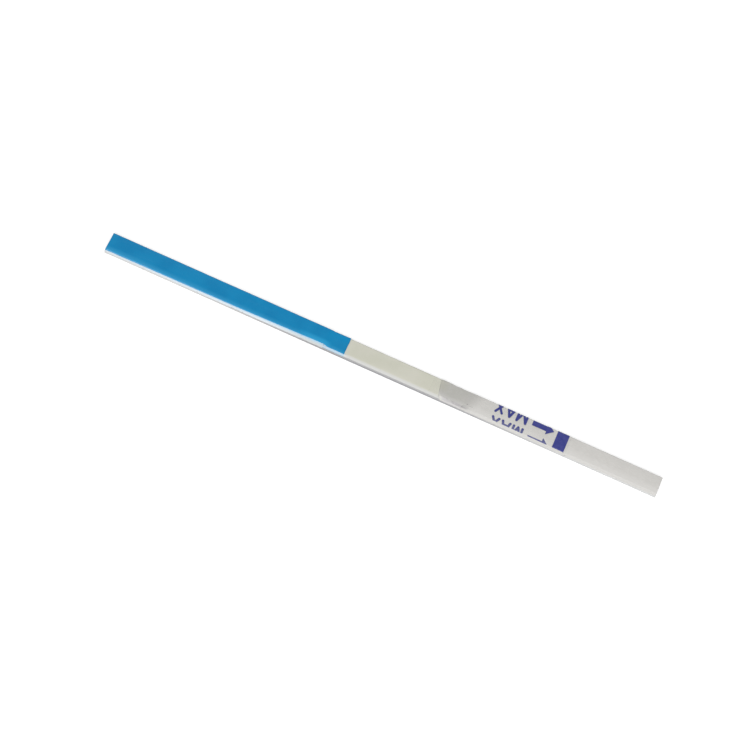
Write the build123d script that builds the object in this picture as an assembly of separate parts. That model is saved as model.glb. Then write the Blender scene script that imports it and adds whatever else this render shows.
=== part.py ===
from build123d import *
import os

# A lateral flow test strip of the dip kind, laid face up, in millimetres.
# X runs along the strip from the handle end to the sample end, Y across it, and Z up
# out of the laminated face. The origin is under the middle of the strip.
# Places along the strip are given from the handle end, and section() moves them to X.

# Backing card, cut flush with what is laminated to it at both ends and both sides
strip_length = 80.0
strip_width = 3.0
card_thickness = 0.40

# Nitrocellulose membrane, cast on its own film
membrane_start = 29.7
membrane_length = 20.0
membrane_thickness = 0.30

# Absorbent pad, from the handle end to just over the membrane
absorbent_length = 31.7
absorbent_thickness = 0.42
absorbent_squeezed = 0.14

# Conjugate pad, a thin glass fibre pad over the membrane's other end. That end of the
# pad is torn askew, and its near corner is rounded off.
conjugate_overlap = 2.0
conjugate_length = 8.0
conjugate_thickness = 0.24
conjugate_squeezed = 0.12
conjugate_skew = 0.55
conjugate_corner = 0.7

# Sample pad, over the conjugate pad and on to the sample end. Its torn inner end thins
# out to sample_edge over sample_feather.
sample_overlap = 4.0
sample_thickness = 0.44
sample_squeezed = 0.21
sample_feather = 1.6
sample_edge = 0.06

# Covering tapes: the handle tape, and the clear tape that carries the limit mark
handle_tape_length = 34.7
handle_tape_thickness = 0.05
limit_tape_lead = 0.8
limit_tape_length = 19.95
limit_tape_thickness = 0.05

# A pad comes down beside a step over pad_drape, and a tape over tape_drape
pad_drape = 0.8
tape_drape = 0.6

# The slitting knife crushes the layers' edges. Their near flank slopes in from the
# card's edge by a setback that differs along the strip, and the far flank by less.
grip_middle = 19.0
near_setback_handle = 0.04
near_setback_grip = 0.16
near_setback_absorbent = 0.40
near_setback_tape = 0.28
near_setback_membrane = 0.44
near_setback_lap = 0.28
near_setback_sample = 0.16
far_setback_pads = 0.05
far_setback_membrane = 0.02
near_roll = 0.24
far_roll = 0.12

# It also leaves the soft pads crowned: their middle stands over their edges by this much
crown_absorbent = 0.03
crown_membrane = 0.01
crown_sample = 0.07

# Heights and places that follow from those sizes
membrane_end = membrane_start + membrane_length
conjugate_start = membrane_end - conjugate_overlap
conjugate_end = conjugate_start + conjugate_length
sample_start = conjugate_end - sample_overlap
limit_tape_start = conjugate_start - limit_tape_lead
limit_tape_end = limit_tape_start + limit_tape_length
membrane_top = card_thickness + membrane_thickness
absorbent_top = card_thickness + absorbent_thickness
absorbent_lap_top = membrane_top + absorbent_squeezed
conjugate_top = card_thickness + conjugate_thickness
conjugate_lap_top = membrane_top + conjugate_squeezed
sample_top = card_thickness + sample_thickness
sample_lap_top = conjugate_top + sample_squeezed
half_width = strip_width / 2

# Top surface of each layer as places and heights, from the handle end
membrane_levels = [(membrane_start, membrane_top), (membrane_end, membrane_top)]
absorbent_levels = [
    (0, absorbent_top),
    (membrane_start - pad_drape, absorbent_top),
    (membrane_start, absorbent_lap_top),
    (absorbent_length, absorbent_lap_top),
]
conjugate_levels = [
    (conjugate_start, conjugate_lap_top),
    (membrane_end, conjugate_lap_top),
    (membrane_end + pad_drape, conjugate_top),
    (conjugate_end, conjugate_top),
]
sample_levels = [
    (sample_start, conjugate_top + sample_edge),
    (sample_start + sample_feather, sample_lap_top),
    (conjugate_end, sample_lap_top),
    (conjugate_end + pad_drape, sample_top),
    (strip_length, sample_top),
]

# The tapes lie on those surfaces and span the steps between them in straight runs
handle_tape_levels = absorbent_levels + [
    (absorbent_length + tape_drape, membrane_top),
    (handle_tape_length, membrane_top),
]
limit_tape_levels = [
    (limit_tape_start, membrane_top),
    (conjugate_start - tape_drape, membrane_top),
    (conjugate_start, conjugate_lap_top),
    (membrane_end, conjugate_lap_top),
    (sample_start + sample_feather, sample_lap_top),
    (conjugate_end, sample_lap_top),
    (conjugate_end + pad_drape, sample_top),
    (limit_tape_end, sample_top),
]

# How the laminate's near edge, far edge and crown change along the strip. Each changes
# evenly from one of these places to the next.
near_setbacks = [
    (0, near_setback_handle),
    (grip_middle, near_setback_grip),
    (absorbent_length, near_setback_absorbent),
    (absorbent_length + tape_drape, near_setback_tape),
    (handle_tape_length, near_setback_tape),
    (handle_tape_length + pad_drape, near_setback_membrane),
    (limit_tape_start, near_setback_membrane),
    (conjugate_end, near_setback_lap),
    (limit_tape_end, near_setback_sample),
    (strip_length, near_setback_sample),
]
far_setbacks = [
    (0, far_setback_pads),
    (absorbent_length, far_setback_pads),
    (handle_tape_length, far_setback_membrane),
    (limit_tape_start, far_setback_membrane),
    (sample_start, far_setback_pads),
    (strip_length, far_setback_pads),
]
crowns = [
    (0, crown_absorbent),
    (absorbent_length, crown_absorbent),
    (handle_tape_length, crown_membrane),
    (limit_tape_start, crown_membrane),
    (sample_start, crown_sample),
    (strip_length, crown_sample),
]


def read_off(stations, place):
    """Value at a place, on the straight runs between the stations."""
    for (a, value_a), (b, value_b) in zip(stations, stations[1:]):
        if place <= b:
            share = max(0, place - a) / (b - a)
            return value_a + share * (value_b - value_a)
    return stations[-1][1]


def laminate_at(place):
    """Near corner's y, far corner's y, and crown of the laminate at a place."""
    near = read_off(near_setbacks, place) - half_width
    far = half_width - read_off(far_setbacks, place)
    return near, far, read_off(crowns, place)


def places_between(start, end):
    """Both ends, and the places between them where the laminate's edges or crown change."""
    changes = {place for place, value in near_setbacks + far_setbacks + crowns}
    return [start] + sorted(place for place in changes if start < place < end) + [end]


def section_plane(place):
    """Plane across the strip, its own x along Y and its own y up."""
    return Plane(origin=(place - strip_length / 2, 0, 0), x_dir=(0, 1, 0), z_dir=(1, 0, 0))


def section(place, top, growth):
    """Section of the layers: sloping flanks, rolled corners and a crowned top."""
    near, far, crown = laminate_at(place)
    with BuildSketch() as outline:
        with BuildLine():
            Polyline(
                (near, top - crown),
                (-half_width, card_thickness),
                (half_width, card_thickness),
                (far, top - crown),
            )
            ThreePointArc((far, top - crown), ((near + far) / 2, top), (near, top - crown))
        make_face()
        corners = outline.vertices().sort_by(Axis.Y)[-2:].sort_by(Axis.X)
        fillet(corners[0], near_roll)
        fillet(corners[1], far_roll)
        if growth:
            offset(amount=growth, kind=Kind.INTERSECTION)
    return section_plane(place) * outline.sketch.face()


def blanket(levels, growth=0):
    """Solid from the card's face up to the levels, grown all round by growth."""
    places = {place for place, height in levels}
    places.update(places_between(levels[0][0], levels[-1][0]))
    sections = [section(place, read_off(levels, place), growth) for place in sorted(places)]
    return loft(sections, ruled=True)


def tape_outline(levels):
    """Tall solid over the plan of a tape, which ends where the flanks start to slope."""
    sections = []
    for place in places_between(levels[0][0], levels[-1][0]):
        near, far, crown = laminate_at(place)
        with BuildSketch() as outline:
            with BuildLine():
                Polyline(
                    (near, card_thickness),
                    (far, card_thickness),
                    (far, card_thickness + strip_width),
                    (near, card_thickness + strip_width),
                    close=True,
                )
            make_face()
        sections.append(section_plane(place) * outline.sketch.face())
    return loft(sections, ruled=True)


def tape(levels, thickness):
    """Film of even thickness on the levels, rolled down over the crushed edges."""
    before = (levels[0][0] - tape_drape, levels[0][1])
    after = (levels[-1][0] + tape_drape, levels[-1][1])
    under = blanket([before] + levels + [after])
    return (blanket(levels, thickness) & tape_outline(levels)) - under


def backing_card():
    """White plastic card with its adhesive face up."""
    return Pos(0, 0, card_thickness / 2) * Box(strip_length, strip_width, card_thickness)


def skew_cut():
    """What the skewed tear and the rounded corner take off the conjugate pad's inner end."""
    x = conjugate_start - strip_length / 2
    turn_share = 1 - conjugate_corner / strip_width
    turn = (x + conjugate_skew * turn_share, conjugate_corner - half_width)
    corner_end = (turn[0] + conjugate_corner, -half_width)
    with BuildSketch(Plane.XY.offset(card_thickness)) as torn_off:
        with BuildLine():
            tear = Line((x, half_width), turn)
            TangentArc(turn, corner_end, tangent=tear % 1)
            Polyline(
                corner_end,
                (x - conjugate_skew, -half_width),
                (x - conjugate_skew, half_width),
                (x, half_width),
            )
        make_face()
    return extrude(torn_off.sketch, amount=strip_width)


card = backing_card()
membrane = blanket(membrane_levels)
absorbent = blanket(absorbent_levels) - membrane
conjugate = blanket(conjugate_levels) - membrane - skew_cut()
sample = blanket(sample_levels) - conjugate

pieces = {
    "backing_card": card,
    "nitrocellulose_membrane": membrane,
    "absorbent_pad": absorbent,
    "conjugate_pad": conjugate,
    "sample_pad": sample,
    "handle_tape": tape(handle_tape_levels, handle_tape_thickness),
    "limit_tape": tape(limit_tape_levels, limit_tape_thickness),
}

os.makedirs("parts", exist_ok=True)
for name, piece in pieces.items():
    export_step(piece, "parts/" + name + ".step")
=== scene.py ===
import bmesh
import bpy
import math
from mathutils import Matrix, Vector, noise
from mathutils.bvhtree import BVHTree


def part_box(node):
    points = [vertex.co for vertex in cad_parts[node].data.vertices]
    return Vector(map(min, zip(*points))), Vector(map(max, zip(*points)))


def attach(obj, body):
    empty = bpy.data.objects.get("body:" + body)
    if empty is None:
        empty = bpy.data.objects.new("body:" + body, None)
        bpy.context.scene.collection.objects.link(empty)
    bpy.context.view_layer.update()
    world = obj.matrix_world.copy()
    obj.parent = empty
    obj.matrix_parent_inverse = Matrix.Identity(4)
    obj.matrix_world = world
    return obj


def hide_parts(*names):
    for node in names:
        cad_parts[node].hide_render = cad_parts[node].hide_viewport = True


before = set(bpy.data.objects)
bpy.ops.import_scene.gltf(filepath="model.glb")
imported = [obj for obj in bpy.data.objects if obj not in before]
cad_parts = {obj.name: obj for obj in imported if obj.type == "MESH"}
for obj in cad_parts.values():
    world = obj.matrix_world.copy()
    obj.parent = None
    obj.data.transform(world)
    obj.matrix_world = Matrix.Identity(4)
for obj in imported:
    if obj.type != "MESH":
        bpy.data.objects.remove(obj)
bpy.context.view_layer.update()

# Backing card
# The real piece is white rigid plastic sheet, 0.4 mm thick, with a film of adhesive on its upper face.
# The laminated card is slit into strips, so its long edges are the knife's cuts: duller than the faces,
# scuffed along their length, and with painted shade in the middle stretch that is darker towards the table.
MM = 0.001


def linear(red, green, blue):
    """Colour as written in 8-bit sRGB, turned to the linear light that shaders take."""
    made = []
    for part in (red, green, blue):
        share = part / 255
        made.append(share / 12.92 if share <= 0.04045 else ((share + 0.055) / 1.055) ** 2.4)
    return (*made, 1.0)


CARD_FACE_DULL = linear(209, 209, 208)
CARD_FACE_CLEAN = linear(216, 216, 216)
# Painted shade on the cut edges, mottled between these two
CARD_CUT_SHADE_DARK = linear(138, 137, 141)
CARD_CUT_SHADE_LIGHT = linear(158, 157, 160)

# Here and below, places are millimetres from the strip's middle and from the table, and what a pair of
# them sets goes from nothing at the first to full at the second
# Painted shade on the cut edges fades in from each end towards the middle, and deepens towards the table
CUT_SHADE_FROM_HANDLE = (-31.0, -5.0)
CUT_SHADE_FROM_SAMPLE = (33.0, 4.0)
CUT_SHADE_DOWNWARD = (0.4, 0.05)


def put(tree, kind, settings=None, **sockets):
    """Adds a shader node, sets what it is, and feeds or sets its named sockets."""
    made = tree.nodes.new(kind)
    for name, value in (settings or {}).items():
        setattr(made, name, value)
    for name, value in sockets.items():
        feed(tree, made.inputs[name.replace("_", " ")], value)
    return made


def feed(tree, socket, value):
    """Links a socket to another node's output, or sets it to a plain value."""
    if isinstance(value, bpy.types.NodeSocket):
        tree.links.new(value, socket)
    else:
        socket.default_value = value


def work_out(tree, operation, first, *others):
    """Arithmetic on the first value alone, or on it and each of the others in turn."""
    made = first
    for other in others or (0.0,):
        step = put(tree, "ShaderNodeMath", {"operation": operation})
        feed(tree, step.inputs[0], made)
        feed(tree, step.inputs[1], other)
        made = step.outputs[0]
    return made


def ease(tree, value, start, end, low=0.0, high=1.0):
    """Value that goes smoothly from low to high as the given one goes from start to end."""
    made = put(tree, "ShaderNodeMapRange", {"interpolation_type": "SMOOTHSTEP"})
    for socket, given in zip(made.inputs, (value, start, end, low, high)):
        feed(tree, socket, given)
    return made.outputs[0]


def tint(tree, share, first, second):
    """Colour between two colours."""
    made = put(tree, "ShaderNodeMix", {"data_type": "RGBA"})
    feed(tree, made.inputs[0], share)
    feed(tree, made.inputs[6], first)
    feed(tree, made.inputs[7], second)
    return made.outputs[2]


def place_on_piece(tree):
    """The point on the piece in millimetres."""
    coordinates = tree.nodes.new("ShaderNodeTexCoord")
    scaled = put(tree, "ShaderNodeVectorMath", {"operation": "SCALE"}, Scale=1 / MM)
    tree.links.new(coordinates.outputs["Object"], scaled.inputs[0])
    return scaled.outputs[0]


def part_of(tree, vector, axis):
    """One part of a vector: X along the strip, Y across it, or Z up."""
    return put(tree, "ShaderNodeSeparateXYZ", Vector=vector).outputs[axis]


def facing(tree, axis):
    """How squarely the surface faces along an axis, from -1 to 1."""
    geometry = tree.nodes.new("ShaderNodeNewGeometry")
    return part_of(tree, geometry.outputs["Normal"], axis)


def emboss(tree, shader, height, strength, depth):
    """Shades the surface as if a pattern stood up from it, by a depth in millimetres."""
    bump = put(tree, "ShaderNodeBump", Strength=strength, Distance=depth * MM, Height=height)
    feed(tree, shader.inputs["Normal"], bump.outputs["Normal"])


def new_material(name):
    """Empty node material with its Principled shader."""
    made = bpy.data.materials.new(name)
    made.use_nodes = True
    return made, made.node_tree, made.node_tree.nodes["Principled BSDF"]


def dress(piece, material):
    """Gives a piece one material all over."""
    piece.data.materials.clear()
    piece.data.materials.append(material)


def new_group(name, takes, gives):
    """Empty shader node group with these sockets, and its input and output nodes."""
    group = bpy.data.node_groups.new(name, "ShaderNodeTree")
    for way, sockets in (("INPUT", takes), ("OUTPUT", gives)):
        for socket, kind in sockets.items():
            group.interface.new_socket(socket, in_out=way, socket_type="NodeSocket" + kind)
    return group, group.nodes.new("NodeGroupInput"), group.nodes.new("NodeGroupOutput")


def use_group(tree, group, **sockets):
    """Places a shared node group in a material with its own values."""
    return put(tree, "ShaderNodeGroup", {"node_tree": group}, **sockets)


def mottle_group():
    """Cloudy unevenness of paper, film and plastic: a soft value about 0.5, and a fine one."""
    group, taken, given = new_group(
        "mottle",
        takes={"Point": "Vector", "Cloud size": "Float", "Grain size": "Float"},
        gives={"Cloud": "Float", "Grain": "Float"},
    )
    for size, out in (("Cloud size", "Cloud"), ("Grain size", "Grain")):
        scale = work_out(group, "DIVIDE", 1.0, taken.outputs[size])
        pattern = put(group, "ShaderNodeTexNoise", Vector=taken.outputs["Point"], Scale=scale, Detail=3.0)
        group.links.new(pattern.outputs[0], given.inputs[out])
    return group


mottle = mottle_group()


def card_material():
    """White plastic with scuffed cut edges, which carry painted shade in the middle stretch."""
    material, tree, shader = new_material("card_plastic")
    point = place_on_piece(tree)
    along = part_of(tree, point, "X")
    up = part_of(tree, point, "Z")
    uneven = use_group(tree, mottle, Point=point, Cloud_size=6.0, Grain_size=0.12)
    cut_side = ease(tree, work_out(tree, "ABSOLUTE", facing(tree, "Y")), 0.6, 0.9)
    # Painted shade on the cut edges in the middle stretch, darker towards the table
    painted_shade = work_out(
        tree, "MULTIPLY", cut_side,
        ease(tree, along, *CUT_SHADE_FROM_HANDLE),
        ease(tree, along, *CUT_SHADE_FROM_SAMPLE),
        ease(tree, up, *CUT_SHADE_DOWNWARD, 0.7, 1.0),
    )
    face = tint(tree, uneven.outputs["Cloud"], CARD_FACE_DULL, CARD_FACE_CLEAN)
    # Mottled colour of the painted shade on the cut edges
    cut = tint(tree, uneven.outputs["Grain"], CARD_CUT_SHADE_DARK, CARD_CUT_SHADE_LIGHT)
    feed(tree, shader.inputs["Base Color"], tint(tree, painted_shade, face, cut))
    feed(tree, shader.inputs["Roughness"], ease(tree, cut_side, 0.0, 1.0, 0.38, 0.62))
    streaks = put(tree, "ShaderNodeMapping", Vector=point, Scale=(0.4, 6.0, 9.0))
    scuffs = put(tree, "ShaderNodeTexNoise", Vector=streaks.outputs[0], Scale=3.0, Detail=4.0)
    emboss(tree, shader, scuffs.outputs[0], strength=0.25, depth=0.02)
    return material


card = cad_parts["backing_card"]
dress(card, card_material())

# Nitrocellulose membrane
# The real piece is a porous white-to-cream layer cast on clear film and cut from a 20 mm roll. It sticks
# to the card's adhesive, and its long edges are crushed by the slitting knife. Its near edge has a painted
# highlight, paler and less yellow. Near the blue tape's end its near flank has painted blue light from the
# tape, and the flank's foot has painted shade where it meets the card.
MEMBRANE_DARK = linear(198, 198, 183)
MEMBRANE_LIGHT = linear(204, 203, 190)
# Painted highlight along the near edge, paler and less yellow
MEMBRANE_NEAR_HIGHLIGHT = linear(203, 203, 200)
# Painted blue light from the tape on the near flank, by the tape's end
MEMBRANE_TAPE_LIGHT = linear(168, 202, 224)
# Painted shade at the flank's foot, where it meets the card
MEMBRANE_FOOT_SHADE = linear(150, 150, 153)
MEMBRANE_HIGHLIGHT_ACROSS = (-0.92, -1.2)
TAPE_LIGHT_ACROSS = (-0.85, -1.0)
FOOT_SHADE_DOWNWARD = (0.5, 0.41)


def ends_of(node):
    """Where a CAD node starts and ends along the strip, in millimetres."""
    low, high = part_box(node)
    return low.x / MM, high.x / MM


tape_end = ends_of("handle_tape")[1]
# Where the painted blue light from the tape fades out along the strip
tape_light_along = (tape_end + 0.2, tape_end - 0.1)

# Each layer is cut into a fine grid with these steps along, across and up
GRID_STEPS = (0.16 * MM, 0.12 * MM, 0.06 * MM)
SAME_POINT = 0.0001 * MM
TINY_EDGE = 0.0002 * MM
SHORT_EDGE = 0.0008 * MM
FLAT_ANGLE = math.radians(0.5)
SHARP_ANGLE = math.radians(50)


def cut_finely(piece):
    """Cuts a mesh into a fine regular grid along X, across Y and up Z, with its form unchanged."""
    work = bmesh.new()
    work.from_mesh(piece.data)
    bmesh.ops.remove_doubles(work, verts=work.verts, dist=SAME_POINT)
    bmesh.ops.dissolve_limit(work, angle_limit=FLAT_ANGLE, verts=work.verts, edges=work.edges)
    low = Vector([min(vert.co[axis] for vert in work.verts) for axis in range(3)])
    high = Vector([max(vert.co[axis] for vert in work.verts) for axis in range(3)])
    for axis, step in enumerate(GRID_STEPS):
        count = round((high[axis] - low[axis]) / step)
        normal = Vector([float(other == axis) for other in range(3)])
        for cut in range(1, count):
            at = low + normal * (high[axis] - low[axis]) * cut / count
            everything = work.verts[:] + work.edges[:] + work.faces[:]
            bmesh.ops.bisect_plane(work, geom=everything, dist=SAME_POINT, plane_co=at, plane_no=normal)
    bmesh.ops.triangulate(work, faces=[face for face in work.faces if len(face.verts) > 4])
    bmesh.ops.remove_doubles(work, verts=work.verts, dist=SHORT_EDGE)
    bmesh.ops.dissolve_degenerate(work, edges=work.edges, dist=TINY_EDGE)
    work.normal_update()
    return work


# Distances along and across at which a bend looks at its own height, and how much each look counts
BEND_LOOKS = ((0.2, 0.0, 0.46), (0.4, 0.0, 0.22), (0.0, 0.15, 0.4), (0.0, 0.3, 0.2))
ABOVE_ALL = 10 * MM
STRAIGHT_DOWN = Vector((0.0, 0.0, -1.0))

# Upward part of the skin's direction: more than the first is level skin, less than the second is
# underside, and a flank is full once it has fallen by FLANK_FALL from FLANK_FACING
LEVEL_FACING = 0.8
UNDERSIDE_FACING = -0.3
FLANK_FACING = 0.9
FLANK_FALL = 0.5


def round_bends(work):
    """Rounds a ruled layer's straight bends, by its own height at paired points round each point."""
    skin = BVHTree.FromBMesh(work)

    def height(x, y):
        spot, normal = skin.ray_cast(Vector((x, y, ABOVE_ALL)), STRAIGHT_DOWN)[:2]
        return spot.z if spot and normal.z > LEVEL_FACING else None

    lifts = []
    for vert in work.verts:
        here = height(vert.co.x, vert.co.y)
        if here is None:
            continue
        lift = 0.0
        for along, across, weight in BEND_LOOKS:
            before = height(vert.co.x - along * MM, vert.co.y - across * MM)
            after = height(vert.co.x + along * MM, vert.co.y + across * MM)
            if before and after:
                lift += weight * ((before + after) / 2 - here)
        lifts.append((vert, lift))
    underside = min(vert.co.z for vert in work.verts) + 0.001 * MM
    for vert, lift in lifts:
        if vert.co.z > underside:
            vert.co.z += lift
    work.normal_update()


def roughen(work, inset, face_relief, flank_relief, lump_size, seed):
    """Sinks a porous layer's skin by an uneven depth, more on its cut flanks. Its underside stays."""
    moves = []
    for vert in work.verts:
        upright = vert.normal.z
        if upright < UNDERSIDE_FACING:
            continue
        flank = min(1.0, max(0.0, (FLANK_FACING - upright) / FLANK_FALL))
        at = vert.co / (lump_size * MM) + Vector((seed, 0.0, 0.0))
        lump = 0.5 + 0.5 * noise.noise(at)
        fibre = 0.5 + 0.5 * noise.noise(Vector((at.x * 0.8, at.y * 3.0, at.z * 3.0)))
        relief = face_relief + (flank_relief - face_relief) * flank
        depth = inset + relief * (0.6 * lump + 0.4 * fibre)
        moves.append((vert, vert.normal * depth * MM))
    for vert, move in moves:
        vert.co -= move


def share_between(value, start, end):
    """Share that goes smoothly from nothing at start to one at end."""
    share = min(1.0, max(0.0, (value - start) / (end - start)))
    return share * share * (3.0 - 2.0 * share)


def make_layer(node, name, material, shape=None, **relief):
    """Fine piece in a CAD layer's place: bends eased, then shaped, then roughened where it is porous."""
    work = cut_finely(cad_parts[node])
    round_bends(work)
    if shape:
        for vert in work.verts:
            vert.co = shape(vert.co / MM) * MM
        work.normal_update()
    if relief:
        roughen(work, **relief)
    low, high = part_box(node)
    for vert in work.verts:
        vert.co = Vector([min(max(vert.co[axis], low[axis]), high[axis]) for axis in range(3)])
    bmesh.ops.remove_doubles(work, verts=work.verts, dist=TINY_EDGE)
    mesh = bpy.data.meshes.new(name)
    work.to_mesh(mesh)
    work.free()
    piece = bpy.data.objects.new(name, mesh)
    bpy.context.scene.collection.objects.link(piece)
    for polygon in mesh.polygons:
        polygon.use_smooth = True
    mesh.set_sharp_from_angle(angle=SHARP_ANGLE)
    dress(piece, material)
    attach(piece, "root")
    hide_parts(node)
    return piece


def membrane_material():
    """Smooth, faintly clouded porous polymer, with a painted highlight along its near edge, painted blue
    light from the tape and painted shade at its foot.
    """
    material, tree, shader = new_material("membrane_cream")
    point = place_on_piece(tree)
    along = part_of(tree, point, "X")
    across = part_of(tree, point, "Y")
    up = part_of(tree, point, "Z")
    uneven = use_group(tree, mottle, Point=point, Cloud_size=2.6, Grain_size=0.05)
    clouded = ease(tree, uneven.outputs["Cloud"], 0.3, 0.7)
    colour = tint(tree, clouded, MEMBRANE_DARK, MEMBRANE_LIGHT)
    # Painted highlight along the near edge
    colour = tint(tree, ease(tree, across, *MEMBRANE_HIGHLIGHT_ACROSS), colour, MEMBRANE_NEAR_HIGHLIGHT)
    # Painted blue light from the blue tape on the near flank, by the tape's end
    tape_light = work_out(
        tree, "MULTIPLY",
        ease(tree, along, *tape_light_along),
        ease(tree, across, *TAPE_LIGHT_ACROSS, 0.0, 0.7),
    )
    colour = tint(tree, tape_light, colour, MEMBRANE_TAPE_LIGHT)
    # Painted shade at the flank's foot, darker towards the card
    colour = tint(tree, ease(tree, up, *FOOT_SHADE_DOWNWARD, 0.0, 0.8), colour, MEMBRANE_FOOT_SHADE)
    feed(tree, shader.inputs["Base Color"], colour)
    shader.inputs["Roughness"].default_value = 0.72
    emboss(tree, shader, uneven.outputs["Grain"], strength=0.3, depth=0.006)
    return material


membrane = make_layer(
    "nitrocellulose_membrane", "membrane", membrane_material(),
    inset=0.003, face_relief=0.003, flank_relief=0.02, lump_size=0.3, seed=3.0,
)

# Absorbent pad
# The real piece is thick pressed cellulose paper that draws the sample along the strip. It sticks to the
# card, laps over the membrane's end, and shows only as a white fibrous flank below the blue tape. The top
# of that flank has painted blue light from the tape, and the flank has painted shade that deepens towards
# the membrane.
ABSORBENT_LIGHT = linear(214, 221, 227)
ABSORBENT_DARK = linear(207, 214, 220)
ABSORBENT_FLANK = linear(213, 222, 229)
# Painted shade on the flank, deepening towards the membrane
ABSORBENT_SHADED = linear(197, 201, 201)
# Painted blue light from the tape on the top of the flank
ABSORBENT_TAPE_LIGHT = linear(160, 202, 226)
ABSORBENT_SHADE_ALONG = (-18.0, -9.0)
TAPE_LIGHT_UPWARD = (0.54, 0.72)
FIBRE_TURNS = (12, 71, 134)


def fibre_group():
    """Matted fibres: how light or dark each lies, and how high it stands."""
    group, taken, given = new_group(
        "fibre_mat",
        takes={"Point": "Vector", "Fibre width": "Float"},
        gives={"Tone": "Float", "Height": "Float"},
    )
    scale = work_out(group, "DIVIDE", 1.0, taken.outputs["Fibre width"])
    strands = []
    for turn in FIBRE_TURNS:
        laid = put(
            group, "ShaderNodeMapping",
            Vector=taken.outputs["Point"], Rotation=(0.3, 0.2, math.radians(turn)), Scale=(0.12, 1.0, 1.0),
        )
        strand = put(group, "ShaderNodeTexNoise", Vector=laid.outputs[0], Scale=scale, Detail=2.0)
        strands.append(ease(group, strand.outputs[0], 0.42, 0.72))
    tone = work_out(group, "DIVIDE", work_out(group, "ADD", *strands), float(len(strands)))
    group.links.new(tone, given.inputs["Tone"])
    group.links.new(work_out(group, "MAXIMUM", *strands), given.inputs["Height"])
    return group


fibre_mat = fibre_group()


def matted_material(name, light, dark, flank, fibre_width, relief):
    """Matted fibre with its relief, and its colour so far: dark to light, and another on cut flanks."""
    material, tree, shader = new_material(name)
    point = place_on_piece(tree)
    fibres = use_group(tree, fibre_mat, Point=point, Fibre_width=fibre_width)
    uneven = use_group(tree, mottle, Point=point, Cloud_size=1.4, Grain_size=0.08)
    fibre_tone = work_out(tree, "MULTIPLY", fibres.outputs["Tone"], 0.6)
    cloud_tone = work_out(tree, "MULTIPLY", uneven.outputs["Cloud"], 0.5)
    tone = ease(tree, work_out(tree, "ADD", fibre_tone, cloud_tone), 0.2, 0.7)
    cut = ease(tree, work_out(tree, "ABSOLUTE", facing(tree, "Y")), 0.25, 0.8)
    colour = tint(tree, cut, tint(tree, tone, dark, light), flank)
    shader.inputs["Roughness"].default_value = 0.9
    emboss(tree, shader, fibres.outputs["Height"], strength=0.5, depth=relief)
    return material, tree, shader, point, colour


def absorbent_material():
    """White paper with painted shade deepening towards the membrane, and painted blue light from the tape.
    """
    material, tree, shader, point, colour = matted_material(
        "absorbent_paper", ABSORBENT_LIGHT, ABSORBENT_DARK, ABSORBENT_FLANK, fibre_width=0.05, relief=0.012)
    along = part_of(tree, point, "X")
    up = part_of(tree, point, "Z")
    # Painted shade, deepening towards the membrane
    flank_shade = ease(tree, along, *ABSORBENT_SHADE_ALONG, 0.0, 0.9)
    colour = tint(tree, flank_shade, colour, ABSORBENT_SHADED)
    # Painted blue light from the tape, at the top of the flank
    colour = tint(tree, ease(tree, up, *TAPE_LIGHT_UPWARD, 0.0, 0.7), colour, ABSORBENT_TAPE_LIGHT)
    feed(tree, shader.inputs["Base Color"], colour)
    return material


absorbent = make_layer(
    "absorbent_pad", "absorbent", absorbent_material(),
    inset=0.005, face_relief=0.008, flank_relief=0.03, lump_size=0.25, seed=11.0,
)

# Conjugate pad
# The real piece is a thin mat of glass fibre, stained grey with the dried reagent that it carries. It laps
# over the membrane's end with a skewed, torn edge, and the clear tape spans the dip behind that lap. The
# dark mouth of the gap under the tape there is painted as shade on the pads, by their near corner.
CONJUGATE_LIGHT = linear(187, 185, 181)
CONJUGATE_DARK = linear(178, 177, 171)
CONJUGATE_FLANK = linear(214, 212, 213)
CONJUGATE_WARM = linear(180, 179, 168)
# Painted light towards the near edge
CONJUGATE_NEAR_LIT = linear(199, 197, 195)
CONJUGATE_CORNER = linear(208, 207, 201)
# Painted shade of the gap under the clear tape
CONJUGATE_GAP_SHADE = linear(168, 165, 167)
WARM_ALONG = (9.6, 8.3)
WARM_ACROSS = (-0.5, 0.3)
CONJUGATE_LIT_ACROSS = (-0.3, -1.1)
MEMBRANE_THICKNESS = 0.3
CONJUGATE_THICKNESS = 0.24
SAMPLE_LAP_THICKNESS = 0.21

card_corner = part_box("backing_card")[1] / MM
strip_half = card_corner.y
card_top = card_corner.z
membrane_top = card_top + MEMBRANE_THICKNESS
conjugate_top = card_top + CONJUGATE_THICKNESS
sample_lap_top = conjugate_top + SAMPLE_LAP_THICKNESS
membrane_end = ends_of("nitrocellulose_membrane")[1]
torn_end, conjugate_end = ends_of("conjugate_pad")

# Past the membrane's end the pads rise by DIP_FILL, which fades out towards the conjugate pad's other
# end. Their tops are crowned about a line a little to the far side of the middle.
DIP_FILL = 0.145
fill_starts = (membrane_end, membrane_end + 0.8)
fill_stops = (conjugate_end - 0.3, conjugate_end - 3.1)
CROWN_DROP = 0.07
CROWN_LINE = 0.15
CROWN_HALF = 1.3

# The torn end is skewed across the strip and rounded off at the near corner. It thins to a share of its
# thickness, and is drawn back from the CAD's clean cut.
TEAR_SKEW = 0.55
CORNER_ROUNDING = 0.7
TORN_THIN = 0.15
DRAWN_BACK = 0.15
RAGGED = 0.06
TEAR_THINS_OVER = (-0.1, 0.5)
drawn_back_along = (torn_end + 1.7, torn_end + 0.3)
corner_pales = (torn_end + 0.15, torn_end - 0.2)


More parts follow.
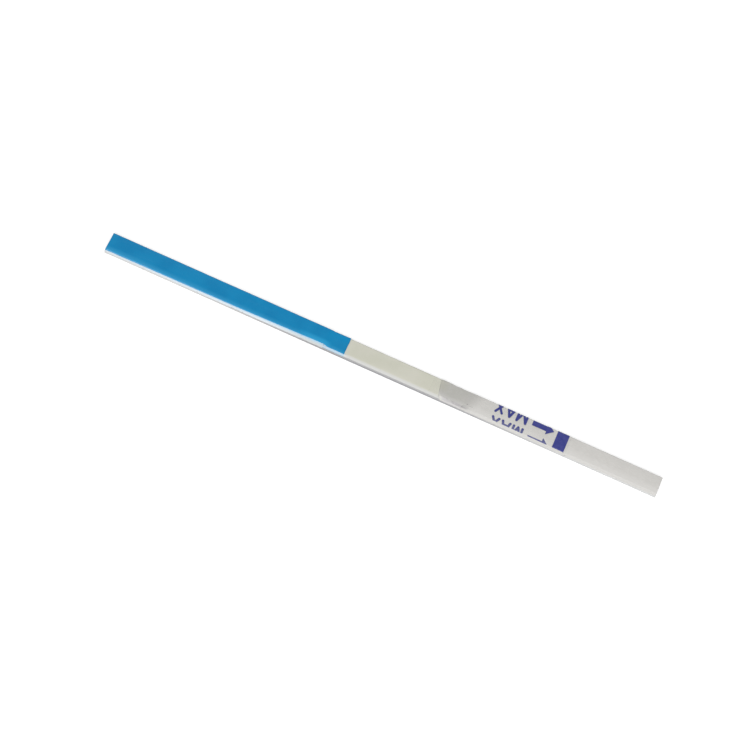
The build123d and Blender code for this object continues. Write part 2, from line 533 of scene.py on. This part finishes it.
def fill_dip(at):
    """Lifts the pads past the membrane's end, where their loft fills the dip below the clear tape."""
    lift = DIP_FILL * share_between(at.x, *fill_starts) * share_between(at.x, *fill_stops)
    drop = CROWN_DROP * min(1.0, ((at.y - CROWN_LINE) / CROWN_HALF) ** 2)
    top = conjugate_top - drop
    lap_top = sample_lap_top - drop
    # A point on the card stays, one at the conjugate pad's top rises in full, and one at the lap's top stays
    room = (at.z - card_top) / (top - card_top)
    if at.z > top:
        room = max(0.0, (lap_top - at.z) / (lap_top - top)) ** 1.4
    return at + Vector((0.0, 0.0, lift * max(0.0, room)))


def tear_and_fill(at):
    """Draws the torn end back by an uneven bit and thins it, and fills the dip past the membrane."""
    corner_start = CORNER_ROUNDING - strip_half
    round_corner = min(1.0, max(0.0, (corner_start - at.y) / CORNER_ROUNDING))
    skew = TEAR_SKEW * (strip_half - at.y) / (2 * strip_half)
    tear = torn_end + skew + CORNER_ROUNDING * (1.0 - math.sqrt(1.0 - round_corner ** 2))
    if at.z > membrane_top:
        thickness = TORN_THIN + (1.0 - TORN_THIN) * share_between(at.x - tear, *TEAR_THINS_OVER)
        at.z = membrane_top + (at.z - membrane_top) * thickness
    drawn_back = DRAWN_BACK + RAGGED * noise.noise(Vector((at.y * 4.0, at.z * 6.0, 5.0)))
    drawn_back *= share_between(at.x, *drawn_back_along)
    return fill_dip(at + Vector((drawn_back, 0.0, 0.0)))


# Painted shade of the gap under the clear tape, by the pads' near corner: a patch and a fainter tail
GAP_SHADE_STARTS_ALONG = (9.3, 10.7)
GAP_SHADE_STOPS_ALONG = (12.9, 12.2)
GAP_SHADE_STARTS_ACROSS = (-0.92, -1.14)
GAP_SHADE_STOPS_ACROSS = (-1.38, -1.26)
TAIL_STARTS_ALONG = (8.6, 9.4)
TAIL_STOPS_ALONG = (10.8, 9.8)
TAIL_STARTS_ACROSS = (-1.0, -1.14)
TAIL_STOPS_ACROSS = (-1.4, -1.3)


def tape_gap_shade_group():
    """Painted shade of the gap under the clear tape, on the pads by their near corner: a broken patch and a
    fainter tail.
    """
    group, taken, given = new_group("tape_gap_shade", takes={"Point": "Vector"}, gives={"Gap shade": "Float"})
    along = part_of(group, taken.outputs["Point"], "X")
    across = part_of(group, taken.outputs["Point"], "Y")
    broken = put(group, "ShaderNodeTexNoise", Vector=taken.outputs["Point"], Scale=3.5, Detail=3.0)
    patch = work_out(
        group, "MULTIPLY",
        ease(group, along, *GAP_SHADE_STARTS_ALONG),
        ease(group, along, *GAP_SHADE_STOPS_ALONG),
        ease(group, across, *GAP_SHADE_STARTS_ACROSS),
        ease(group, across, *GAP_SHADE_STOPS_ACROSS),
        ease(group, broken.outputs[0], 0.3, 0.55, 0.3, 0.85),
    )
    tail = work_out(
        group, "MULTIPLY",
        ease(group, along, *TAIL_STARTS_ALONG, 0.0, 0.45),
        ease(group, along, *TAIL_STOPS_ALONG),
        ease(group, across, *TAIL_STARTS_ACROSS),
        ease(group, across, *TAIL_STOPS_ACROSS),
    )
    group.links.new(work_out(group, "MAXIMUM", patch, tail), given.inputs["Gap shade"])
    return group


tape_gap_shade = tape_gap_shade_group()


def conjugate_material():
    """Grey glass fibre, warmer at its far corner and paler at the torn corner, with painted light towards
    the near edge and painted shade of the gap under the tape by the near corner.
    """
    material, tree, shader, point, colour = matted_material(
        "conjugate_glass_fibre", CONJUGATE_LIGHT, CONJUGATE_DARK, CONJUGATE_FLANK,
        fibre_width=0.04, relief=0.012,
    )
    along = part_of(tree, point, "X")
    across = part_of(tree, point, "Y")
    warm = work_out(
        tree, "MULTIPLY", ease(tree, along, *WARM_ALONG, 0.0, 0.8), ease(tree, across, *WARM_ACROSS))
    colour = tint(tree, warm, colour, CONJUGATE_WARM)
    # Painted light towards the near edge
    colour = tint(tree, ease(tree, across, *CONJUGATE_LIT_ACROSS, 0.0, 0.65), colour, CONJUGATE_NEAR_LIT)
    corner_line = work_out(tree, "ADD", along, across)
    corner = ease(tree, corner_line, *corner_pales, 0.0, 0.8)
    colour = tint(tree, corner, colour, CONJUGATE_CORNER)
    # Painted shade of the gap under the clear tape
    gap_shade = use_group(tree, tape_gap_shade, Point=point).outputs["Gap shade"]
    feed(tree, shader.inputs["Base Color"], tint(tree, gap_shade, colour, CONJUGATE_GAP_SHADE))
    return material


conjugate = make_layer(
    "conjugate_pad", "conjugate", conjugate_material(), tear_and_fill,
    inset=0.006, face_relief=0.01, flank_relief=0.04, lump_size=0.22, seed=23.0,
)

# Sample pad
# The real piece is soft white filter paper, 0.44 mm thick. It laps over the conjugate pad, whose grey
# shows through the lap and fades out, and runs bare to the sample end, where it is dipped.
SAMPLE_LIGHT = linear(209, 207, 203)
SAMPLE_DARK = linear(201, 199, 195)
SAMPLE_FLANK = linear(194, 193, 189)
# Painted light towards the near edge
SAMPLE_NEAR_LIT = linear(213, 211, 208)
SAMPLE_OVER_GREY = linear(183, 181, 177)
# Painted shade of the gap under the clear tape
SAMPLE_GAP_SHADE = linear(162, 160, 160)
SAMPLE_LIT_ACROSS = (-0.1, -1.0)
GREY_SHOWS_ALONG = (14.1, 12.1)
GREY_SHOWS_ACROSS = (-1.15, -0.4)
GREY_SLANT = 0.35
FEATHER_SINK = 0.03

sample_start = ends_of("sample_pad")[0]
feather_along = (sample_start + 0.7, sample_start)


def sample_material():
    """White paper with painted light towards the near edge and painted shade by the near corner, with the
    conjugate pad's grey under its lap.
    """
    material, tree, shader, point, colour = matted_material(
        "sample_paper", SAMPLE_LIGHT, SAMPLE_DARK, SAMPLE_FLANK, fibre_width=0.06, relief=0.014)
    along = part_of(tree, point, "X")
    across = part_of(tree, point, "Y")
    # Painted light towards the near edge
    colour = tint(tree, ease(tree, across, *SAMPLE_LIT_ACROSS, 0.0, 0.5), colour, SAMPLE_NEAR_LIT)
    slanted = work_out(tree, "SUBTRACT", along, work_out(tree, "MULTIPLY", across, GREY_SLANT))
    grey_shows = work_out(
        tree, "MULTIPLY",
        ease(tree, slanted, *GREY_SHOWS_ALONG),
        ease(tree, across, *GREY_SHOWS_ACROSS, 0.35, 1.0),
    )
    colour = tint(tree, grey_shows, colour, SAMPLE_OVER_GREY)
    # Painted shade of the gap under the clear tape
    gap_shade = use_group(tree, tape_gap_shade, Point=point).outputs["Gap shade"]
    feed(tree, shader.inputs["Base Color"], tint(tree, gap_shade, colour, SAMPLE_GAP_SHADE))
    return material


def feather_and_fill(at):
    """Sinks the feathered inner end into the conjugate pad's fibres, and follows that pad over the dip."""
    filled = fill_dip(at)
    if at.z > card_top + 0.1:
        filled.z -= FEATHER_SINK * share_between(at.x, *feather_along)
    return filled


sample = make_layer(
    "sample_pad", "sample", sample_material(), feather_and_fill,
    inset=0.006, face_relief=0.012, flank_relief=0.035, lump_size=0.3, seed=37.0,
)

# Handle tape
# The real piece is blue polyester film with adhesive behind it. It is laid over the absorbent pad and
# the card before slitting, so it ends square at the handle end and rolls down over the crushed edges.
FILM_DEEP = linear(2, 124, 177)
FILM_LIGHT = linear(9, 132, 184)
# Painted sheen towards the near edge
FILM_NEAR_SHEEN = linear(52, 150, 198)
# Painted highlight on the crest before the step
FILM_CREST_HIGHLIGHT = linear(44, 159, 209)
NEAR_SHEEN_ACROSS = (-0.55, -1.25)
CREST_HIGHLIGHT_FROM_HANDLE = (-13.0, -10.0)
CREST_HIGHLIGHT_FROM_STEP = (-7.2, -8.2)
CREST_HIGHLIGHT_ACROSS = (-0.2, -0.75)

# How the far rim stands off the pad, and more so where the tape comes down to the membrane
RIM_ACROSS = (0.5, 1.4)
RIM_LIFT = 0.03
RIM_LIFTS_ALONG = (-25.0, -20.0)
STEP_LIFT = 0.06
STEP_LIFTS_ALONG = (-8.8, -7.8)


def film_group():
    """Handled film: fine rubs along it, and soft lows and highs from what it lies on."""
    group, taken, given = new_group(
        "handled_film",
        takes={"Point": "Vector", "Rub length": "Float"},
        gives={"Rubbed": "Float", "Height": "Float"},
    )
    scale = work_out(group, "DIVIDE", 1.0, taken.outputs["Rub length"])
    laid = put(group, "ShaderNodeMapping", Vector=taken.outputs["Point"], Scale=(0.5, 9.0, 9.0))
    rubs = put(group, "ShaderNodeTexNoise", Vector=laid.outputs[0], Scale=scale, Detail=5.0)
    dents = put(group, "ShaderNodeTexNoise", Vector=taken.outputs["Point"], Scale=1.6, Detail=1.0)
    group.links.new(ease(group, rubs.outputs[0], 0.5, 0.75), given.inputs["Rubbed"])
    group.links.new(dents.outputs[0], given.inputs["Height"])
    return group


handled_film = film_group()


def handle_film_material():
    """Blue film, dyed through, a little uneven in depth of colour, with a painted sheen towards the near
    edge and a painted highlight on the crest before the step.
    """
    material, tree, shader = new_material("blue_film")
    point = place_on_piece(tree)
    along = part_of(tree, point, "X")
    across = part_of(tree, point, "Y")
    worn = use_group(tree, handled_film, Point=point, Rub_length=4.0)
    uneven = use_group(tree, mottle, Point=point, Cloud_size=3.0, Grain_size=0.2)
    colour = tint(tree, ease(tree, uneven.outputs["Cloud"], 0.3, 0.7), FILM_DEEP, FILM_LIGHT)
    # Painted sheen towards the near edge
    colour = tint(tree, ease(tree, across, *NEAR_SHEEN_ACROSS, 0.0, 0.65), colour, FILM_NEAR_SHEEN)
    # Painted highlight on the crest before the step
    crest_highlight = work_out(
        tree, "MULTIPLY",
        ease(tree, along, *CREST_HIGHLIGHT_FROM_HANDLE),
        ease(tree, along, *CREST_HIGHLIGHT_FROM_STEP),
        ease(tree, across, *CREST_HIGHLIGHT_ACROSS, 0.0, 0.6),
    )
    feed(tree, shader.inputs["Base Color"], tint(tree, crest_highlight, colour, FILM_CREST_HIGHLIGHT))
    shader.inputs["Specular IOR Level"].default_value = 0.35
    feed(tree, shader.inputs["Roughness"], ease(tree, worn.outputs["Rubbed"], 0.0, 1.0, 0.32, 0.46))
    emboss(tree, shader, worn.outputs["Height"], strength=0.4, depth=0.03)
    return material


def stand_off(at):
    """Lifts the tape's far rim a little off the pad, and more where it comes down to the membrane."""
    lift = RIM_LIFT * share_between(at.x, *RIM_LIFTS_ALONG)
    lift += STEP_LIFT * share_between(at.x, *STEP_LIFTS_ALONG)
    return at + Vector((0.0, 0.0, lift * share_between(at.y, *RIM_ACROSS)))


handle_film = make_layer("handle_tape", "handle_film", handle_film_material(), stand_off)

# Limit tape
# The real piece is clear polyester film, printed in blue-violet from a wide roll and laid across the pads
# before slitting. Its repeat of word and arrow, and its one band, run across the roll, so both long edges
# cut them.
INK_THIN = linear(70, 74, 142)
INK_THICK = linear(58, 64, 134)
FILM_CLEAR = linear(214, 216, 212)
SPECK_GREY = linear(120, 120, 126)
PRINT_PITCH = 2.55
BAND_ALONG = (24.85, 26.51)
INK_FADES_ACROSS = (-0.55, -1.05)
# Painted highlight along a crease in the film
CREASE_HIGHLIGHT_SHOWS = 0.22
SPECK_SHOWS = 0.16

# Half the width over which an edge of ink fades, on a stroke and on the arrow and band
STROKE_SOFT = 0.03
BLOCK_SOFT = 0.02


def stroke_group():
    """Ink within a set distance of the straight line between two points, with a soft edge."""
    group, taken, given = new_group(
        "ink_stroke",
        takes={"Point": "Vector", "Start": "Vector", "End": "Vector", "Half width": "Float"},
        gives={"Ink": "Float"},
    )

    def combine(operation, first, second, output=0):
        made = put(group, "ShaderNodeVectorMath", {"operation": operation})
        feed(group, made.inputs[0], first)
        feed(group, made.inputs[1], second)
        return made.outputs[output]

    reach = combine("SUBTRACT", taken.outputs["Point"], taken.outputs["Start"])
    line = combine("SUBTRACT", taken.outputs["End"], taken.outputs["Start"])
    reached = combine("DOT_PRODUCT", reach, line, "Value")
    whole = combine("DOT_PRODUCT", line, line, "Value")
    share = work_out(group, "DIVIDE", reached, whole)
    share.node.use_clamp = True
    foot = put(group, "ShaderNodeVectorMath", {"operation": "SCALE"}, Scale=share)
    group.links.new(line, foot.inputs[0])
    away = combine("DISTANCE", reach, foot.outputs[0], "Value")
    inner = work_out(group, "SUBTRACT", taken.outputs["Half width"], STROKE_SOFT)
    outer = work_out(group, "ADD", taken.outputs["Half width"], STROKE_SOFT)
    group.links.new(ease(group, away, outer, inner), given.inputs["Ink"])
    return group


ink_stroke = stroke_group()


def draw_stroke(tree, point, start, end, half_width):
    """Ink of one stroke on the flat of the film."""
    drawn = use_group(
        tree, ink_stroke, Point=point, Start=(*start, 0.0), End=(*end, 0.0), Half_width=half_width)
    return drawn.outputs["Ink"]


def flat_place(tree, x, y):
    """A place on the flat of the film."""
    return put(tree, "ShaderNodeCombineXYZ", X=x, Y=y, Z=0.0).outputs[0]


def within(tree, value, low, high):
    """One between two limits, and nothing outside them."""
    above = ease(tree, value, low - BLOCK_SOFT, low + BLOCK_SOFT)
    below = ease(tree, value, high + BLOCK_SOFT, high - BLOCK_SOFT)
    return work_out(tree, "MULTIPLY", above, below)


def word_ink(tree, x, y):
    """Letters, their feet towards the far side, in one row that repeats across the film."""
    word_foot, word_height, stroke_half = -0.51, 1.95, 0.165
    below_foot = work_out(tree, "SUBTRACT", word_foot, y)
    row_place = work_out(tree, "ADD", below_foot, 4 * PRINT_PITCH)
    point = flat_place(tree, x, work_out(tree, "MODULO", row_place, PRINT_PITCH))
    top, foot = word_height - stroke_half, stroke_half
    m_left, m_right, a_left, a_right, x_left, x_right = 20.39, 19.15, 18.62, 17.56, 17.01, 16.11
    m_middle = (m_left + m_right) / 2
    a_middle = (a_left + a_right) / 2
    a_bar = foot + 0.32 * (top - foot)
    strokes = [
        ((m_left, foot), (m_left, top)),
        ((m_left, top), (m_middle, foot)),
        ((m_middle, foot), (m_right, top)),
        ((m_right, top), (m_right, foot)),
        ((a_left, foot), (a_middle, top)),
        ((a_middle, top), (a_right, foot)),
        ((a_left - 0.15, a_bar), (a_right + 0.15, a_bar)),
        ((x_left, foot), (x_right, top)),
        ((x_left, top), (x_right, foot)),
    ]
    drawn = [draw_stroke(tree, point, start, end, stroke_half) for start, end in strokes]
    return work_out(tree, "MAXIMUM", *drawn)


def arrow_ink(tree, x, y):
    """Arrow towards the sample end, in the same repeat as the word."""
    middle, shaft_half, head_half = 0.99, 0.42, 0.94
    tail, head_base, tip = 21.28, 23.35, 24.37
    wrapped = work_out(tree, "WRAP", y)
    wrapped.node.inputs[1].default_value = middle + PRINT_PITCH / 2
    wrapped.node.inputs[2].default_value = middle - PRINT_PITCH / 2
    off_axis = work_out(tree, "ABSOLUTE", work_out(tree, "SUBTRACT", wrapped, middle))
    shaft_width = ease(tree, off_axis, shaft_half + BLOCK_SOFT, shaft_half - BLOCK_SOFT)
    shaft = work_out(tree, "MULTIPLY", within(tree, x, tail, head_base + 0.1), shaft_width)
    slope = head_half / (tip - head_base)
    head_edge = work_out(tree, "MULTIPLY", work_out(tree, "SUBTRACT", tip, x), slope)
    head_width = ease(tree, work_out(tree, "SUBTRACT", head_edge, off_axis), -BLOCK_SOFT, BLOCK_SOFT)
    past_base = ease(tree, x, head_base - BLOCK_SOFT, head_base + BLOCK_SOFT)
    head = work_out(tree, "MULTIPLY", head_width, past_base)
    return work_out(tree, "MAXIMUM", shaft, head)


def limit_film_material():
    """Clear film with its printed limit mark."""
    material, tree, shader = new_material("clear_printed_film")
    point = place_on_piece(tree)
    along = part_of(tree, point, "X")
    across = part_of(tree, point, "Y")

    # Print, with a slightly ragged edge, a little fainter towards the near edge
    ragged = use_group(tree, mottle, Point=point, Cloud_size=0.5, Grain_size=0.06)
    shake = work_out(tree, "MULTIPLY", work_out(tree, "SUBTRACT", ragged.outputs["Grain"], 0.5), 0.05)
    x = work_out(tree, "ADD", along, shake)
    y = work_out(tree, "ADD", across, shake)
    marks = work_out(tree, "MAXIMUM", word_ink(tree, x, y), arrow_ink(tree, x, y))
    marks = work_out(tree, "MULTIPLY", marks, ease(tree, across, *INK_FADES_ACROSS, 1.0, 0.86))
    ink = work_out(tree, "MAXIMUM", marks, within(tree, x, *BAND_ALONG))
    ink_colour = tint(tree, ease(tree, ragged.outputs["Cloud"], 0.25, 0.7), INK_THIN, INK_THICK)

    # Painted highlight along a small crease where the tape comes down off the sample pad's inner end, and a
    # speck under it
    on_pads = flat_place(tree, along, across)
    crease_highlight = draw_stroke(tree, on_pads, (11.82, -1.08), (13.12, -0.7), half_width=0.05)
    speck = draw_stroke(tree, on_pads, (12.32, -0.65), (12.4, -0.64), half_width=0.07)
    bare = tint(tree, speck, FILM_CLEAR, SPECK_GREY)
    feed(tree, shader.inputs["Base Color"], tint(tree, ink, bare, ink_colour))

    # Clear film shows where it turns away from the eye, where the crease's painted highlight lies and where
    # it is inked
    glance = put(tree, "ShaderNodeLayerWeight", Blend=0.5)
    grazed = work_out(tree, "POWER", glance.outputs["Facing"], 4.0)
    sheen = work_out(tree, "MULTIPLY", grazed, ease(tree, facing(tree, "Z"), 0.3, 0.7), 0.4)
    alpha = work_out(
        tree, "MAXIMUM",
        work_out(tree, "ADD", 0.02, sheen),
        work_out(tree, "MULTIPLY", crease_highlight, CREASE_HIGHLIGHT_SHOWS),
        work_out(tree, "MULTIPLY", speck, SPECK_SHOWS),
        work_out(tree, "MULTIPLY", ink, 0.98),
    )
    feed(tree, shader.inputs["Alpha"], alpha)
    worn = use_group(tree, handled_film, Point=point, Rub_length=3.0)
    feed(tree, shader.inputs["Roughness"], ease(tree, worn.outputs["Rubbed"], 0.0, 1.0, 0.2, 0.34))
    emboss(tree, shader, worn.outputs["Height"], strength=0.4, depth=0.03)
    return material


limit_film = make_layer("limit_tape", "limit_film", limit_film_material())

# Floor, lamps and camera
# Pale table top that the camera sees as white, one broad soft lamp high on the near side, a weak one low
# behind, and a dim room all round. The camera stands where the photograph's did.
FLOOR_GREY = linear(205, 205, 205)
FLOOR_HALF = 1.5
FLOOR_GLOW = 0.5
ROOM_LIGHT = 0.25
WHITE = (1, 1, 1, 1)


def make_floor():
    """Level floor under the strip, white to the camera, with the strip's own shadow on it."""
    mesh = bpy.data.meshes.new("floor")
    sides = ((-1, -1), (1, -1), (1, 1), (-1, 1))
    mesh.from_pydata([(x * FLOOR_HALF, y * FLOOR_HALF, 0.0) for x, y in sides], [], [(0, 1, 2, 3)])
    floor = bpy.data.objects.new("floor", mesh)
    bpy.context.scene.collection.objects.link(floor)
    material, tree, shader = new_material("floor_white")
    shader.inputs["Base Color"].default_value = FLOOR_GREY
    shader.inputs["Roughness"].default_value = 0.9
    shader.inputs["Specular IOR Level"].default_value = 0.0
    path = tree.nodes.new("ShaderNodeLightPath")
    rays = ("Is Camera Ray", "Is Glossy Ray", "Is Transmission Ray")
    seen = work_out(tree, "ADD", *[path.outputs[ray] for ray in rays])
    seen.node.use_clamp = True
    glow = put(
        tree, "ShaderNodeEmission", Color=WHITE, Strength=work_out(tree, "MULTIPLY", seen, FLOOR_GLOW))
    both = tree.nodes.new("ShaderNodeAddShader")
    tree.links.new(shader.outputs[0], both.inputs[0])
    tree.links.new(glow.outputs[0], both.inputs[1])
    tree.links.new(both.outputs[0], tree.nodes["Material Output"].inputs["Surface"])
    dress(floor, material)


def make_room():
    """Dim room: white to the camera past the floor's edge, soft fill for everything else."""
    room = bpy.data.worlds.new("room")
    bpy.context.scene.world = room
    room.use_nodes = True
    tree = room.node_tree
    background = tree.nodes["Background"]
    path = tree.nodes.new("ShaderNodeLightPath")
    background.inputs["Color"].default_value = WHITE
    brightness = ease(tree, path.outputs["Is Camera Ray"], 0.0, 1.0, ROOM_LIGHT, 1.0)
    feed(tree, background.inputs["Strength"], brightness)


def direction(azimuth, elevation):
    """Outward direction, turned from the near side towards the sample end, and raised."""
    return Vector((
        math.sin(azimuth) * math.cos(elevation),
        -math.cos(azimuth) * math.cos(elevation),
        math.sin(elevation),
    ))


def make_lamp(name, azimuth, elevation, watts, distance=0.8, width=0.5):
    """Square soft lamp that stands round the strip and faces it."""
    data = bpy.data.lights.new(name, "AREA")
    data.shape = "SQUARE"
    data.size = width
    data.energy = watts
    lamp = bpy.data.objects.new(name, data)
    bpy.context.scene.collection.objects.link(lamp)
    outward = direction(math.radians(azimuth), math.radians(elevation))
    lamp.location = outward * distance
    lamp.rotation_mode = "QUATERNION"
    lamp.rotation_quaternion = outward.to_track_quat("Z", "Y")


def make_camera():
    """Camera at the photograph's place, with the photograph's lean to the side."""
    azimuth, elevation, lean = math.radians(3.03), math.radians(56), math.radians(21.5)
    distance = 418.6 * MM
    aim = Vector((-0.42, -1.77, 0.0)) * MM
    picture_pixels, focal_pixels = 750, 3154.5
    data = bpy.data.cameras.new("camera")
    data.sensor_width = 36.0
    data.lens = focal_pixels / picture_pixels * data.sensor_width
    data.clip_start = 0.01
    data.clip_end = 10.0
    camera = bpy.data.objects.new("camera", data)
    bpy.context.scene.collection.objects.link(camera)
    back = direction(azimuth, elevation)
    level = Vector((math.cos(azimuth), math.sin(azimuth), 0.0))
    upward = back.cross(level)
    right = level * math.cos(lean) + upward * math.sin(lean)
    top = upward * math.cos(lean) - level * math.sin(lean)
    turn = Matrix((right, top, back)).transposed().to_4x4()
    camera.matrix_world = Matrix.Translation(aim + back * distance) @ turn
    bpy.context.scene.camera = camera


make_floor()
make_room()
make_lamp("near_lamp", azimuth=8, elevation=48, watts=6.4)
make_lamp("back_lamp", azimuth=200, elevation=20, watts=1.9)
make_camera()
bpy.context.scene.view_settings.view_transform = "Standard"
